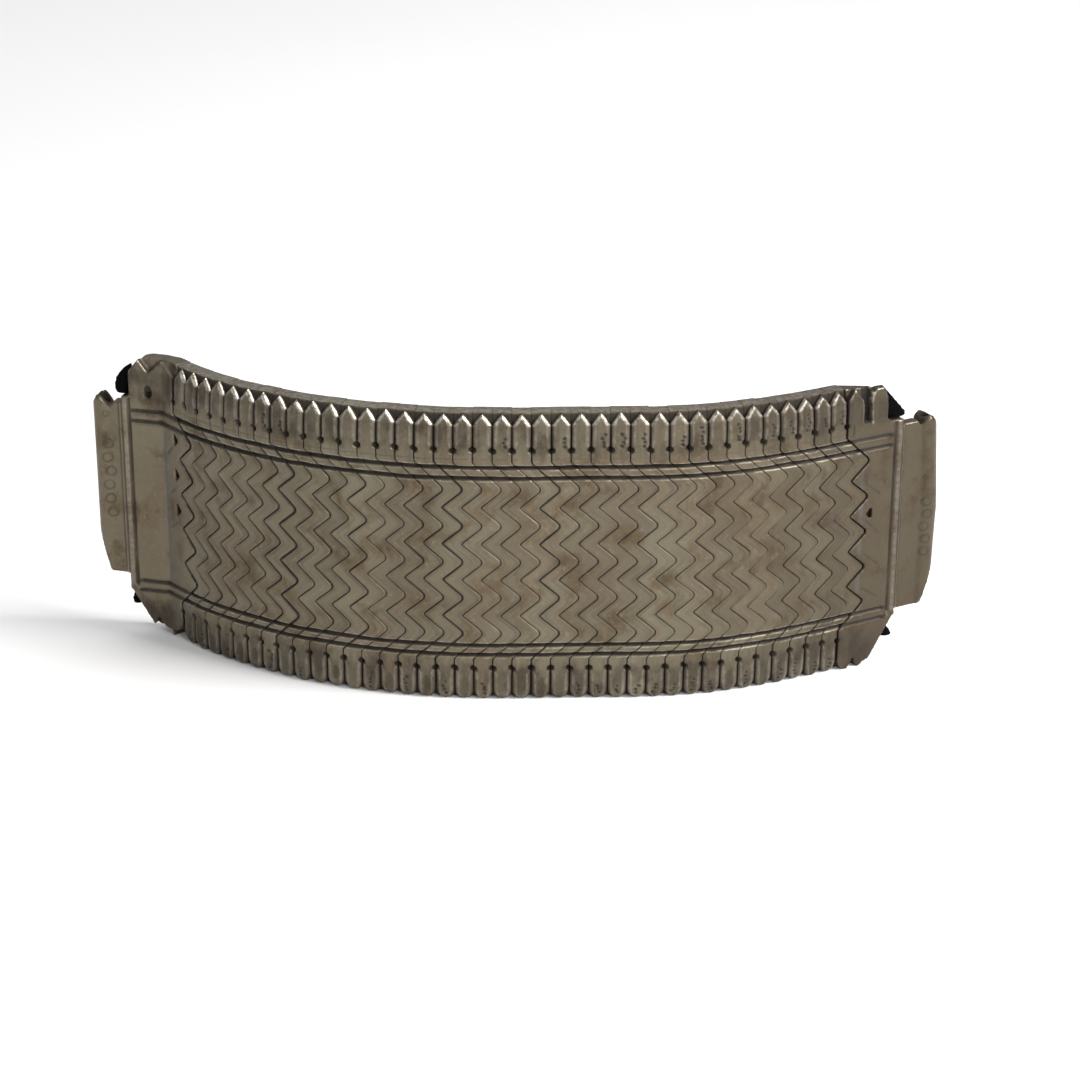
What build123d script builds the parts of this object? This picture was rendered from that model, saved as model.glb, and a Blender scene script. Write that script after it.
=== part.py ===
# Flexible silver armlet of the bajuband kind, standing on its lower long edge.
# Millimetres, +Z up. The convex face looks towards -Y and the arm lies on the +Y side.
# Thirty-eight equal zigzag links stand side by side on two threads, between two soldered end pieces.

import os
from math import cos, radians, sin

from build123d import *

os.makedirs("parts", exist_ok=True)

# Band and links
HEIGHT = 38.0
DEPTH = 3.4
PITCH = 2.4
FIRST_JOINT = -21
LINK_COUNT = 38
LINK_GAP = 0.17
BACK_TAPER = 0.26

# Zigzag joint between two links, in the plane of the link
ZIGZAG_PEAKS = 5
PEAK_TOP_Z = 28.3
PEAK_STEP = 4.8
PEAK_OFFSET = 3.45
VALLEY_OFFSET = 0.95
PEAK_FLAT = 0.5
STRAIGHT_TOP_Z = 31.8
STRAIGHT_BOTTOM_Z = 5.6

# Grooves across the front, a raised line left between each pair
GROOVE_ROWS = [31.2, 29.8, 7.5, 6.2]
GROOVE_WIDTH = 0.6
GROOVE_DEPTH = 0.4

# Tips: pointed above, rounded below, each standing in front of a plain back bar
TIP_DEPTH = 1.2
TIP_SHOULDER_Z = 36.4
TIP_FRONT_SLOPE_Z = 35.2
TIP_FRONT_SLOPE_DEPTH = 0.35
FOOT_PROFILE = [(1.2, 1.5), (0.8, 0.5), (0.4, 0.0)]
DOT_ROWS = [33.4, 4.3]
DOT_RADIUS = 0.32
DOT_DEPTH = 0.8

# Threads and their drilled holes
THREAD_ROWS = {"thread_upper": 34.6, "thread_lower": 4.2}
THREAD_DEPTH = 2.2
THREAD_RADIUS = 0.3
THREAD_SIDES = 8
KNOT_PROFILE = [(0.0, 0.8), (0.2, 1.0), (0.5, 0.8), (0.8, 0.45), (1.0, 0.15)]
HOLE_RADIUS = 0.5
HOLE_TURN_RADIUS = 0.85
SHARP_TURN = 10.0

# Direction of the band along the floor, degrees from +X, by link number counted from the middle
HEADINGS = [
    (-21.0, -46.5),
    (-16.0, -31.0),
    (-11.0, -18.8),
    (-7.0, -9.3),
    (-3.0, 0.2),
    (0.0, 4.6),
    (5.0, 3.8),
    (7.5, 10.0),
    (10.0, 17.8),
    (12.5, 25.2),
    (16.5, 31.0),
]

# End pieces. Lengths run outwards from the soldered link; one row for each end.
# A gap has its base and point along the link and a height.
# A knot has its near edge, low and high end, and width.
ENDS = {
    "terminal_left": {
        "side": -1,
        "heading": -12.5,
        "link_tip": (-PITCH, PITCH),
        "tips": [(-1.7, 1.7), (1.9, 4.45)],
        "block": 4.45,
        "foot_lift": 1.0,
        "foot_end": 1.6,
        "open_gaps": [(2.25, 3.3, 28.3), (2.25, 3.3, 23.5), (2.25, 3.3, 18.7)],
        "ridge": (4.2, 5.5),
        "panel": 7.1,
        "panel_z": (8.2, 32.0),
        "tube": 1.4,
        "tube_z": (8.2, 33.0),
        "taper": (1.7, 14.5),
        "knots": {"thread_upper": (4.6, 33.2, 37.3, 1.9), "thread_lower": (4.8, 3.1, 4.85, 1.1)},
    },
    "terminal_right": {
        "side": 1,
        "heading": 31.0,
        "link_tip": (0, PITCH),
        "tips": [(0.1, 1.75), (2.05, 4.1)],
        "block": 4.1,
        "foot_lift": 0.0,
        "foot_end": 2.0,
        "open_gaps": [(4.3, 3.4, 21.1)],
        "ridge": (4.7, 6.1),
        "panel": 9.4,
        "panel_z": (6.7, 32.1),
        "tube": 1.6,
        "tube_z": (6.6, 32.5),
        "taper": (2.3, 13.0),
        "knots": {"thread_upper": (4.25, 33.2, 37.5, 2.6), "thread_lower": (4.95, 2.9, 4.6, 1.2)},
    },
}
PLATE_Z = (6.3, 33.1)
CORNER_CUT = (1.3, 1.2)
END_DOT_RADIUS = 0.42
PLATE_DEPTH = 2.4
PANEL_FRONT = 0.5
PANEL_DEPTH = 1.6
RIDGE_HEIGHT = 0.25
RIDGE_WIDTH = 0.45
SOLDER_Z = (STRAIGHT_BOTTOM_Z, STRAIGHT_TOP_Z)
GAP_DEPTH = 0.9
GAP_HALF_HEIGHT = 1.0
BORE_RADIUS = 0.85
TUBE_CENTRE_DEPTH = 1.5
TUBE_CHAMFER = 0.4


def prism(points, direction, length):
    """Solid swept from a flat polygon of 3-D points."""
    return extrude(Face(Wire.make_polygon(points)), amount=length, dir=direction)


def slab(u, d, z):
    """Box between two positions along the band, two depths and two heights."""
    size = (u[1] - u[0], d[1] - d[0], z[1] - z[0])
    return Pos(u[0], d[0], z[0]) * Box(*size, align=(Align.MIN, Align.MIN, Align.MIN))


def joint_line():
    """(height, offset) along one joint from the top edge down to the lower edge."""
    line = [(HEIGHT, 0.0), (STRAIGHT_TOP_Z, 0.0)]
    for k in range(ZIGZAG_PEAKS):
        peak_z = PEAK_TOP_Z - k * PEAK_STEP
        line.append((peak_z + PEAK_FLAT / 2, PEAK_OFFSET))
        line.append((peak_z - PEAK_FLAT / 2, PEAK_OFFSET))
        if k < ZIGZAG_PEAKS - 1:
            line.append((peak_z - PEAK_STEP / 2, VALLEY_OFFSET))
    return line + [(STRAIGHT_BOTTOM_Z, 0.0), (0.0, 0.0)]


def link_outline(depth, inset):
    """Closed outline of a link at one depth, narrowed by the inset on both sides."""
    line = joint_line()
    left = [(offset + inset, depth, z) for z, offset in line]
    right = [(PITCH + offset - inset, depth, z) for z, offset in reversed(line)]
    return Face(Wire.make_polygon(left + right))


def groove_cutter(start, end):
    """The four V grooves between two positions along the band."""
    cutters = []
    for z in GROOVE_ROWS:
        section = [
            (start, -0.1, z + GROOVE_WIDTH / 2 + 0.1),
            (start, GROOVE_DEPTH, z),
            (start, -0.1, z - GROOVE_WIDTH / 2 - 0.1),
        ]
        cutters.append(prism(section, (1, 0, 0), end - start))
    return cutters


def tip_cutters(start, end, lift=0.0):
    """Cuts that shape one pointed upper tip and one rounded foot between two positions."""
    middle = (start + end) / 2
    half = (end - start) / 2
    cutters = []
    for side in (-1, 1):
        outer = middle + side * (half + 0.2)
        shoulder = middle + side * half
        gable = [
            (outer, -0.1, TIP_SHOULDER_Z),
            (shoulder, -0.1, TIP_SHOULDER_Z),
            (middle, -0.1, HEIGHT),
            (middle, -0.1, HEIGHT + 1),
            (outer, -0.1, HEIGHT + 1),
        ]
        cutters.append(prism(gable, (0, 1, 0), TIP_DEPTH + 0.1))
        profile = [(middle + side * x * half / (PITCH / 2), z + lift) for x, z in FOOT_PROFILE]
        foot = [(x, -0.1, z) for x, z in profile]
        foot.append((profile[-1][0], -0.1, -1.0))
        foot.append((outer, -0.1, -1.0))
        foot.append((outer, -0.1, profile[0][1]))
        cutters.append(prism(foot, (0, 1, 0), TIP_DEPTH + 0.1))
    slope = [
        (start - 0.2, -0.1, TIP_FRONT_SLOPE_Z),
        (start - 0.2, 0.0, TIP_FRONT_SLOPE_Z),
        (start - 0.2, TIP_FRONT_SLOPE_DEPTH, HEIGHT + 0.1),
        (start - 0.2, -0.1, HEIGHT + 0.1),
    ]
    cutters.append(prism(slope, (1, 0, 0), end - start + 0.4))
    if lift:
        cutters.append(slab((start - 0.2, end + 0.2), (-0.1, DEPTH + 0.1), (-1, lift)))
    return cutters


def dot_cutters(position):
    """Round notches where two neighbouring tips meet."""
    turned = Rotation(90, 0, 0) * Cylinder(DOT_RADIUS, 2 * DOT_DEPTH)
    return [Pos(position, 0, z) * turned for z in DOT_ROWS]


def hole_cutters(start, end):
    """Thread holes between two positions along the band."""
    along = Rotation(0, 90, 0) * Cylinder(HOLE_RADIUS, end - start)
    return [Pos((start + end) / 2, THREAD_DEPTH, z) * along for z in THREAD_ROWS.values()]


def link_body():
    """One zigzag link without its thread holes or joint dots."""
    front = link_outline(0.0, LINK_GAP / 2)
    back = link_outline(DEPTH, (LINK_GAP + BACK_TAPER) / 2)
    return loft([front, back], ruled=True)


def make_link():
    """One finished link, its left joint at the local origin."""
    link = link_body()
    cutters = groove_cutter(-1, PITCH + PEAK_OFFSET + 1) + tip_cutters(0, PITCH)
    for position in (0.0, PITCH):
        cutters += dot_cutters(position)
    return link - cutters - hole_cutters(-1, PITCH + 1)


def heading_at(number):
    """Direction of the band at a link number, read between the rows of HEADINGS."""
    if number <= HEADINGS[0][0]:
        return HEADINGS[0][1]
    for (n0, h0), (n1, h1) in zip(HEADINGS, HEADINGS[1:]):
        if number <= n1:
            return h0 + (h1 - h0) * (number - n0) / (n1 - n0)
    return HEADINGS[-1][1]


def step(point, heading, length):
    """Point reached by going a length along a direction on the floor."""
    angle = radians(heading)
    return (point[0] + length * cos(angle), point[1] + length * sin(angle))


def inward(point, heading, depth):
    """Point at a depth behind the front face."""
    return step(point, heading + 90, depth)


def joint_points():
    """Front joint of every link, from one soldered link to the other."""
    last = FIRST_JOINT + LINK_COUNT
    points = {0: (0.0, 0.0)}
    for number in range(0, last + 1):
        points[number + 1] = step(points[number], heading_at(number + 0.5), PITCH)
    for number in range(0, FIRST_JOINT - 1, -1):
        points[number - 1] = step(points[number], heading_at(number - 0.5), -PITCH)
    return points


def placed(shape, point, heading):
    """A local shape set at a point and direction on the floor."""
    return shape.moved(Location((point[0], point[1], 0), (0, 0, heading)))


def outward(shape, side):
    """A shape drawn towards +X, turned to run towards the free end."""
    return mirror(shape, about=Plane.YZ) if side < 0 else shape


def beyond_joint(shift, side):
    """Everything on the far side of a joint, with the clearance a neighbouring link needs."""
    faces = []
    for depth, inset in ((0.0, LINK_GAP / 2), (DEPTH, (LINK_GAP + BACK_TAPER) / 2)):
        line = [(shift + offset - side * inset, depth, z) for z, offset in joint_line()]
        line[0] = (line[0][0], depth, HEIGHT + 1)
        line[-1] = (line[-1][0], depth, -1)
        far = shift + side * 9
        faces.append(Face(Wire.make_polygon(line + [(far, depth, -1), (far, depth, HEIGHT + 1)])))
    return loft(faces, ruled=True)


def end_plate(end):
    """Plate, ridges, panel and rolled tube of one end piece, drawn outwards along +X."""
    ridge_start, ridge_stop = end["ridge"]
    stop = end["block"]
    block = slab((0, stop), (0, DEPTH), (0, HEIGHT))
    for start, end_of_tip in end["tips"]:
        block -= tip_cutters(start, end_of_tip, end["foot_lift"])
    for (_, before), (after, _) in zip(end["tips"], end["tips"][1:]):
        block -= slab((before, after), (-1, TIP_DEPTH), (PLATE_Z[1], HEIGHT + 1))
        block -= slab((before, after), (-1, TIP_DEPTH), (-1, 3.0))
        dot = Rotation(90, 0, 0) * Cylinder(END_DOT_RADIUS, 2 * DOT_DEPTH)
        block -= Pos((before + after) / 2, 0, DOT_ROWS[0]) * dot
    corner = [
        (stop - CORNER_CUT[0], -1, HEIGHT),
        (stop, -1, HEIGHT - CORNER_CUT[1]),
        (stop + 1, -1, HEIGHT - CORNER_CUT[1]),
        (stop + 1, -1, HEIGHT + 1),
        (stop - CORNER_CUT[0], -1, HEIGHT + 1),
    ]
    block -= prism(corner, (0, 1, 0), DEPTH + 2)
    foot = [
        (end["foot_end"], -1, 0),
        (end["foot_end"], -1, -1),
        (ridge_stop + 1, -1, -1),
        (ridge_stop + 1, -1, PLATE_Z[0]),
        (ridge_stop, -1, PLATE_Z[0]),
    ]
    foot_cut = prism(foot, (0, 1, 0), DEPTH + 2)

    plate = slab((stop - 0.5, ridge_stop), (0, PLATE_DEPTH), (0, PLATE_Z[1]))
    for edge in (ridge_start, ridge_stop - RIDGE_WIDTH):
        plate += slab((edge, edge + RIDGE_WIDTH), (-RIDGE_HEIGHT, 0.5), PLATE_Z)
    tube_centre = end["panel"] + end["tube"]
    panel_depths = (PANEL_FRONT, PANEL_FRONT + PANEL_DEPTH)
    panel = slab((ridge_stop - 0.2, tube_centre), panel_depths, end["panel_z"])

    low, high = end["tube_z"]
    tube = Cylinder(end["tube"], high - low)
    tube = Pos(tube_centre, TUBE_CENTRE_DEPTH, (low + high) / 2) * tube
    tube = chamfer(tube.edges().filter_by(GeomType.CIRCLE), TUBE_CHAMFER)
    bore = Pos(tube_centre, TUBE_CENTRE_DEPTH, HEIGHT / 2) * Cylinder(BORE_RADIUS, 2 * HEIGHT)
    rim = tube_centre + end["tube"]
    taper_in, taper_z = end["taper"]
    side_cut = [
        (rim, -1, taper_z),
        (rim - taper_in, -1, low),
        (rim - taper_in, -1, low - 1),
        (rim + 1, -1, low - 1),
        (rim + 1, -1, taper_z),
    ]
    taper = prism(side_cut, (0, 1, 0), DEPTH + 2)
    return ((block + plate) - foot_cut + panel + tube) - bore - taper


def solder(end, side):
    """The first link filled up to its plate, with the small gaps the solder left open."""
    if side < 0:
        filled = link_body() + slab((0, PEAK_OFFSET + LINK_GAP), (0, DEPTH), SOLDER_Z)
        filled -= beyond_joint(PITCH, 1)
    else:
        filled = link_body() + slab((PITCH - 0.5, PITCH + PEAK_OFFSET), (0, DEPTH), SOLDER_Z)
        filled -= beyond_joint(0.0, -1)
    return filled


def gap_cutters(end):
    """Small triangular gaps left open in the solder, in the frame of the soldered link."""
    cutters = []
    for base, tip, z in end["open_gaps"]:
        corners = [(tip, -1, z), (base, -1, z + GAP_HALF_HEIGHT), (base, -1, z - GAP_HALF_HEIGHT)]
        cutters.append(prism(corners, (0, 1, 0), GAP_DEPTH + 1))
    return cutters


def make_end(name, points):
    """One end piece as a single soldered solid."""
    end = ENDS[name]
    side = end["side"]
    if side < 0:
        number = FIRST_JOINT - 1
        corner = points[number]
    else:
        number = FIRST_JOINT + LINK_COUNT
        corner = points[number + 1]
    origin = points[number]
    link_heading = heading_at(number + 0.5)
    plate_heading = end["heading"]

    link = solder(end, side) - tip_cutters(*end["link_tip"], end["foot_lift"])
    plate = outward(end_plate(end), side)
    whole = placed(link, origin, link_heading) + placed(plate, corner, plate_heading)
    sharp = abs(plate_heading - link_heading) > SHARP_TURN
    if sharp:
        wedge = [corner, inward(corner, link_heading, DEPTH)]
        wedge.append(inward(step(corner, plate_heading, side * 0.3), plate_heading, DEPTH))
        whole += prism([(x, y, 0) for x, y in wedge], (0, 0, 1), HEIGHT)

    neighbour = beyond_joint(PITCH, 1) if side < 0 else beyond_joint(0.0, -1)
    cuts = [neighbour] + gap_cutters(end)
    cuts += dot_cutters(PITCH if side < 0 else 0.0)
    cuts += groove_cutter(-0.6, PITCH + PEAK_OFFSET + 0.4)
    cuts += hole_cutters(-1.0, PITCH + 1.0)
    for cut in cuts:
        whole -= placed(cut, origin, link_heading)
    cuts = groove_cutter(-0.3, end["ridge"][0] - 0.4) + hole_cutters(-0.4, end["ridge"][1] + 1)
    if sharp:
        turn = Cylinder(HOLE_TURN_RADIUS, 2 * HOLE_RADIUS + 0.2)
        cuts += [Pos(0, THREAD_DEPTH, z) * turn for z in THREAD_ROWS.values()]
    for cut in cuts:
        whole -= placed(outward(cut, side), corner, plate_heading)
    return whole


def thread_route(points):
    """Positions of a thread on the floor plan, from beyond one end plate to beyond the other."""
    numbers = sorted(points)
    route = []
    for number in numbers:
        before = heading_at(number - 0.5)
        after = heading_at(number + 0.5)
        if number == numbers[0]:
            before = ENDS["terminal_left"]["heading"]
        if number == numbers[-1]:
            after = ENDS["terminal_right"]["heading"]
        route.append(inward(points[number], (before + after) / 2, THREAD_DEPTH))
    return route


def make_thread(row, points):
    """One thread through every hole, tied off in a knot beyond each end."""
    z = THREAD_ROWS[row]
    route = thread_route(points)
    numbers = sorted(points)
    knots = []
    for end in ENDS.values():
        side = end["side"]
        corner = points[numbers[0] if side < 0 else numbers[-1]]
        edge, low, high, width = end["knots"][row]
        rings = []
        for rise, swell in KNOT_PROFILE:
            radius = width / 2 * swell
            centre = step(corner, end["heading"], side * (edge + radius))
            centre = inward(centre, end["heading"], THREAD_DEPTH)
            ring = Rotation(0, 0, end["heading"]) * RegularPolygon(radius, THREAD_SIDES)
            rings.append(Pos(*centre, low + (high - low) * rise) * ring)
        knots.append(loft(rings, ruled=True))
        outer = [step(corner, end["heading"], side * x) for x in (edge + width / 2, edge / 2)]
        outer = [inward(point, end["heading"], THREAD_DEPTH) for point in outer]
        route = outer + route if side < 0 else route + outer[::-1]

    sections = []
    for k, point in enumerate(route):
        before = route[max(k - 1, 0)]
        after = route[min(k + 1, len(route) - 1)]
        direction = (after[0] - before[0], after[1] - before[1], 0)
        plane = Plane(origin=(*point, z), x_dir=(0, 0, 1), z_dir=direction)
        sections.append(plane * RegularPolygon(THREAD_RADIUS, THREAD_SIDES))
    return loft(sections, ruled=True) + knots


def main():
    points = joint_points()
    parts = {}
    link = make_link()
    for k in range(LINK_COUNT):
        number = FIRST_JOINT + k
        parts[f"link_{k + 1:02d}"] = placed(link, points[number], heading_at(number + 0.5))
    for name in ENDS:
        parts[name] = make_end(name, points)
    for row in THREAD_ROWS:
        parts[row] = make_thread(row, points)

    box = Compound(children=[Compound([shape]) for shape in parts.values()]).bounding_box()
    shift = ((box.min.X + box.max.X) / 2, (box.min.Y + box.max.Y) / 2)
    for name, shape in parts.items():
        export_step(Pos(-shift[0], -shift[1], 0) * shape, f"parts/{name}.step")


main()
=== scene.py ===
# Flexible silver armlet: detailed worn silver links, soldered end pieces and black threads, on a pale floor.
# Lengths below are millimetres in the band's own plan, turned to metres when a mesh is made.

import math
import random

import bmesh
import bpy
import numpy as np
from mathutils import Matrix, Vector

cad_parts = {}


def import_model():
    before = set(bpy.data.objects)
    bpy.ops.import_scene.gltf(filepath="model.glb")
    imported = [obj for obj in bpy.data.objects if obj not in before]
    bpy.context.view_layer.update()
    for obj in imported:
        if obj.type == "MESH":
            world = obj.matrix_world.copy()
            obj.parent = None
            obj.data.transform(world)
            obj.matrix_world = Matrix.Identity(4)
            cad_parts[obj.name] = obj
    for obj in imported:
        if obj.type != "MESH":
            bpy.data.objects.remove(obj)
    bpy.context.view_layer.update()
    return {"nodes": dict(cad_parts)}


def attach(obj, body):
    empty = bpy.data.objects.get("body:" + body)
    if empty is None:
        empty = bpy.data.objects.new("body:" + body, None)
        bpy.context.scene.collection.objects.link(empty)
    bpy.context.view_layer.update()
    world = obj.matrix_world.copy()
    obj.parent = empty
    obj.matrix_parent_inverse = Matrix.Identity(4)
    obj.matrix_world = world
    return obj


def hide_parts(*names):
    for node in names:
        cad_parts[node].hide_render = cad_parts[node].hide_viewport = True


MM = 0.001

# Band, the same sizes as the solids
HEIGHT = 38.0
DEPTH = 3.4
PITCH = 2.4
FIRST_JOINT = -21
LINK_COUNT = 38

# Gaps between the worn links, narrower than between the solids: at the front, and behind CLOSED_DEPTH.
# The outermost links reach END_SEAL into the soldered ones.
LINK_GAP = 0.05
CLOSED_GAP = 0.004
CLOSED_DEPTH = 1.5
END_SEAL = 0.06

# Zigzag joint
ZIGZAG_PEAKS = 5
PEAK_TOP_Z = 28.3
PEAK_STEP = 4.8
PEAK_OFFSET = 3.45
VALLEY_OFFSET = 0.95
PEAK_FLAT = 0.5
PEAK_ROUNDING = 0.22
STRAIGHT_TOP_Z = 31.8
STRAIGHT_BOTTOM_Z = 5.6

# Front relief
GROOVE_ROWS = (31.2, 29.8, 7.5, 6.2)
GROOVE_WIDTH = 0.62
GROOVE_DEPTH = 0.42
COLLAR_LINE_Z = 32.35
TIP_DEPTH = 1.2
TIP_SHOULDER_Z = 36.5
TIP_FRONT_SLOPE_Z = 35.0
TIP_FRONT_SLOPE_DEPTH = 0.45
FOOT_ROUND_Z = 1.6
FOOT_MIN_SHARE = 0.3
DOT_ROWS = (33.4, 4.3)
DOT_RADIUS = 0.43
DOT_DEPTH = 0.55
PIT_DEPTH = 0.22
EDGE_ROUNDING = 0.12
TIP_ROUNDING = 0.46
PILLOW_WIDTH = 0.75
BOWL_Z = 2.1
BOWL_HALF_SIZE = (0.6, 1.25)

# Direction of the band along the floor, degrees from +X, by link number counted from the middle
HEADINGS = (
    (-21.0, -46.5),
    (-16.0, -31.0),
    (-11.0, -18.8),
    (-7.0, -9.3),
    (-3.0, 0.2),
    (0.0, 4.6),
    (5.0, 3.8),
    (7.5, 10.0),
    (10.0, 17.8),
    (12.5, 25.2),
    (16.5, 31.0),
)

# Joints that stand open a little more than the rest: joint number, extra width of the dark line
OPEN_JOINTS = {
    -19: 0.04, -15: 0.1, -14: 0.12, -10: 0.03, -6: 0.04,
    -5: 0.08, 0: 0.05, 5: 0.04, 8: 0.05, 17: 0.02,
}

# Links whose upper tip carries a short row of punched dots
PITTED_TIPS = (-15, -14, -2, 1, 3, 4, 5, 7, 8, 10, 12, 13, 14, 15, 16)

# How light the silver is along the band, darker towards its ends as a painted shade: link number, tone
BAND_TONE_AND_SHADE = ((-22, -0.05), (-12, 0.0), (-4, 0.3), (3, 0.3), (9, -0.1), (13, -0.6), (17, -0.95))

# Plan point that the middle of the finished part's box stands on
PLAN_SHIFT = (-3.0771856592417386, 10.653698565084381)

# Columns across a link, as distances from its left joint, and depths of its side wall
COLUMNS = (0, 0.05, 0.12, 0.21, 0.33, 0.5, 0.72, 0.96, 1.2, 1.44, 1.68, 1.9, 2.07, 2.19, 2.28, 2.35, 2.4)
BACK_COLUMNS = 4
SIDE_DEPTHS = (0.0, 0.5, 0.85, 1.18, 1.22, 2.2, 3.25, 3.4)

# Height rows down a link: top, bottom and spacing of each stretch
ROW_STRETCHES = (
    (38.0, 36.0, 0.1),
    (36.0, 33.9, 0.15),
    (33.9, 32.1, 0.1),
    (32.1, 29.3, 0.1),
    (29.3, 8.1, 0.2),
    (8.1, 5.7, 0.1),
    (5.7, 2.0, 0.13),
    (2.0, 0.0, 0.1),
)

# End pieces: lengths run outwards from the soldered link.
# lean: height and sideways shift of the tube. tube_top: place along and height of its worn upper end.
# rings: place along, height and radius. ring_rows: top, bottom, spacing, place along and radius.
# strokes and fill: (along, height) points, a fill with its front depth. socket: place, height, half sizes.
# sunk: start and stop of a wide gap. crown: place along and drop of the worn back edge.
# tuck: start, stop and amount that the block's outer side is drawn in. lap: start, stop, low, high.
# knots: near edge, low end, high end and width. knot_shape: share of the height and of the width.
# tone: how dark each end piece is, a painted shade.
ENDS = {
    "terminal_left": {
        "side": -1,
        "heading": -12.5,
        "joint": PITCH,
        "ridge": (4.5, 5.6),
        "tube": (7.1, 9.9),
        "lean": ((10.0, 0.0), (30.0, 0.0)),
        "tube_top": ((6.9, 31.2), (7.5, 31.3), (8.6, 32.4), (9.2, 32.3), (10.0, 31.3)),
        "rings": ((7.9, 30.3, 0.36),),
        "ring_rows": (26.2, 15.6, 1.9, 7.75, 0.6),
        "tone_and_shade": -0.2,
        "fill": ((((3.0, 33.0), (3.0, 37.2), (3.6, 37.2), (4.2, 36.8), (4.42, 36.1), (4.42, 33.0)), 0.1),),
        "sunk": None,
        "crown": ((-2.4, 0.0), (2.2, 0.0), (3.4, 0.3), (4.45, 1.0)),
        "tuck": None,
        "socket": (1.85, 33.85, 0.5, 0.8),
        "strokes": (((-1.7, 27.2), (-0.7, 26.0)), ((-1.9, 21.6), (-1.0, 20.7)), ((-1.9, 16.9), (-1.0, 16.0))),
        "lap": None,
        "solder": (-1.3, 0.1),
        "knots": {"thread_upper": (4.5, 33.15, 36.9, 2.4), "thread_lower": (4.7, 3.7, 5.9, 1.3)},
        "knot_shape": ((0.0, 0.93), (0.2, 1.0), (0.5, 0.88), (0.75, 0.6), (0.9, 0.35), (1.0, 0.1)),
    },
    "terminal_right": {
        "side": 1,
        "heading": 31.0,
        "joint": 0.0,
        "ridge": (4.95, 6.15),
        "tube": (9.4, 12.6),
        "lean": ((6.0, -0.3), (14.0, -0.2), (20.0, 0.0), (32.5, -0.8)),
        "tube_top": ((9.0, 31.4), (9.6, 31.7), (10.2, 32.5), (11.0, 32.8), (11.9, 32.4), (12.6, 31.2)),
        "rings": ((10.6, 30.6, 0.3), (10.2, 24.4, 0.25)),
        "ring_rows": (21.0, 13.0, 1.7, 10.4, 0.56),
        "tone_and_shade": -1.25,
        "fill": (
            (
                (
                    (1.15, 33.0), (1.15, 36.4), (1.4, 37.2), (1.9, 37.7),
                    (2.8, 37.7), (3.3, 37.2), (3.6, 36.2), (3.6, 33.0),
                ),
                0.05,
            ),
            (((1.6, 0.35), (1.6, 5.0), (2.15, 5.0), (2.1, 0.35)), 0.15),
        ),
        "sunk": (0.1, 1.15),
        "crown": ((-3.0, 0.0), (-1.0, 0.35), (1.5, 0.8), (3.0, 1.1), (3.8, 1.8)),
        "tuck": (2.9, 4.1, 0.45),
        "socket": None,
        "strokes": (
            ((0.55, 25.4), (2.9, 23.6)),
            ((1.0, 20.2), (3.0, 18.2)),
            ((0.9, 15.6), (3.1, 13.9)),
            ((0.7, 11.0), (3.2, 9.4)),
            ((3.6, 30.9), (4.4, 30.8)),
        ),
        "lap": (-1.4, 4.35, 31.9, 33.5),
        "solder": (-0.2, 0.4),
        "knots": {"thread_upper": (3.3, 33.15, 37.4, 4.0), "thread_lower": (4.8, 3.0, 5.6, 2.0)},
        "knot_shape": ((0.0, 1.0), (0.08, 0.97), (1.0, 0.1)),
    },
}
PLATE_Z = (6.3, 33.1)
END_VOXEL = 0.17
RIDGE_HEIGHT = 0.25
TUBE_CENTRE_DEPTH = 1.5
ENGRAVING_DEPTH = 0.12
ENGRAVING_WIDTH = 0.2
RIDGE_LINE_WIDTH = 0.22
LAP_DEPTH = 0.16
FILL_BACK_DEPTH = 1.35
PLATE_FRONT_DEPTH = 0.75
TUBE_WEAR_Z = (31.0, 32.6)

# Threads and the knots beyond the end pieces
THREAD_ROWS = {"thread_upper": 34.6, "thread_lower": 4.2}
THREAD_DEPTH = 2.2
THREAD_RADIUS = 0.28
THREAD_SIDES = 12
THREAD_STEP = 0.3
THREAD_TWIST = 2.4
KNOT_DEPTH = 1.7
KNOT_RINGS = 34
KNOT_SIDES = 40
KNOT_MAX_DEPTH = 2.2

# Largest angle, in degrees, that still shades smooth
LINK_SMOOTH_ANGLE = 50
THREAD_SMOOTH_ANGLE = 60

# Colours of the silver: film in two tones, browned film, pale film, a dark colour for the tone's painted
# shade, solder, grime, bare silver that also serves painted highlights, and dirt that also serves painted
# shade
FILM_COLOURS = ((0.195, 0.155, 0.107), (0.235, 0.21, 0.147))
BROWN_FILM = (0.155, 0.108, 0.058)
PALE_FILM = (0.285, 0.255, 0.2)
DARK_TONE_AND_SHADE = (0.05, 0.036, 0.024)
SOLDER_FILM = (0.135, 0.137, 0.13)
GRIME_COLOUR = (0.05, 0.038, 0.026)
BARE_SILVER_AND_HIGHLIGHT = (0.66, 0.62, 0.55)
DIRT_AND_SHADE_COLOUR = (0.018, 0.013, 0.009)
THREAD_COLOURS = ((0.0015, 0.0015, 0.002), (0.004, 0.004, 0.004))
FLOOR_COLOURS = ((0.86, 0.86, 0.86), (0.9, 0.9, 0.9))

CAMERA_PLACE = (0.01659, -0.33438, 0.15735)
CAMERA_TURN = (67.297, -0.206, 2.292)
CAMERA_LENS = 95.499
SENSOR = 36.0


def smooth_step(x, low, high):
    t = np.clip((x - low) / (high - low), 0.0, 1.0)
    return t * t * (3.0 - 2.0 * t)


def plateau(x, rise_start, rise_stop, fall_start, fall_stop):
    """Rises from 0 to 1 over the first stretch and falls back to 0 over the second."""
    return smooth_step(x, rise_start, rise_stop) * (1 - smooth_step(x, fall_start, fall_stop))


def ripple(x, y, seed, octaves=3):
    """Soft repeatable unevenness from -1 to 1 over two coordinates."""
    rng = random.Random(seed)
    total = np.zeros(np.broadcast(x, y).shape)
    weight = 0.0
    scale = 1.0
    for _ in range(octaves):
        for _ in range(3):
            angle = rng.uniform(0, 2 * math.pi)
            phase = rng.uniform(0, 2 * math.pi)
            total = total + np.sin((x * math.cos(angle) + y * math.sin(angle)) * scale + phase) / scale
            weight += 1 / scale
        scale *= 2.1
    return total / weight


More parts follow.
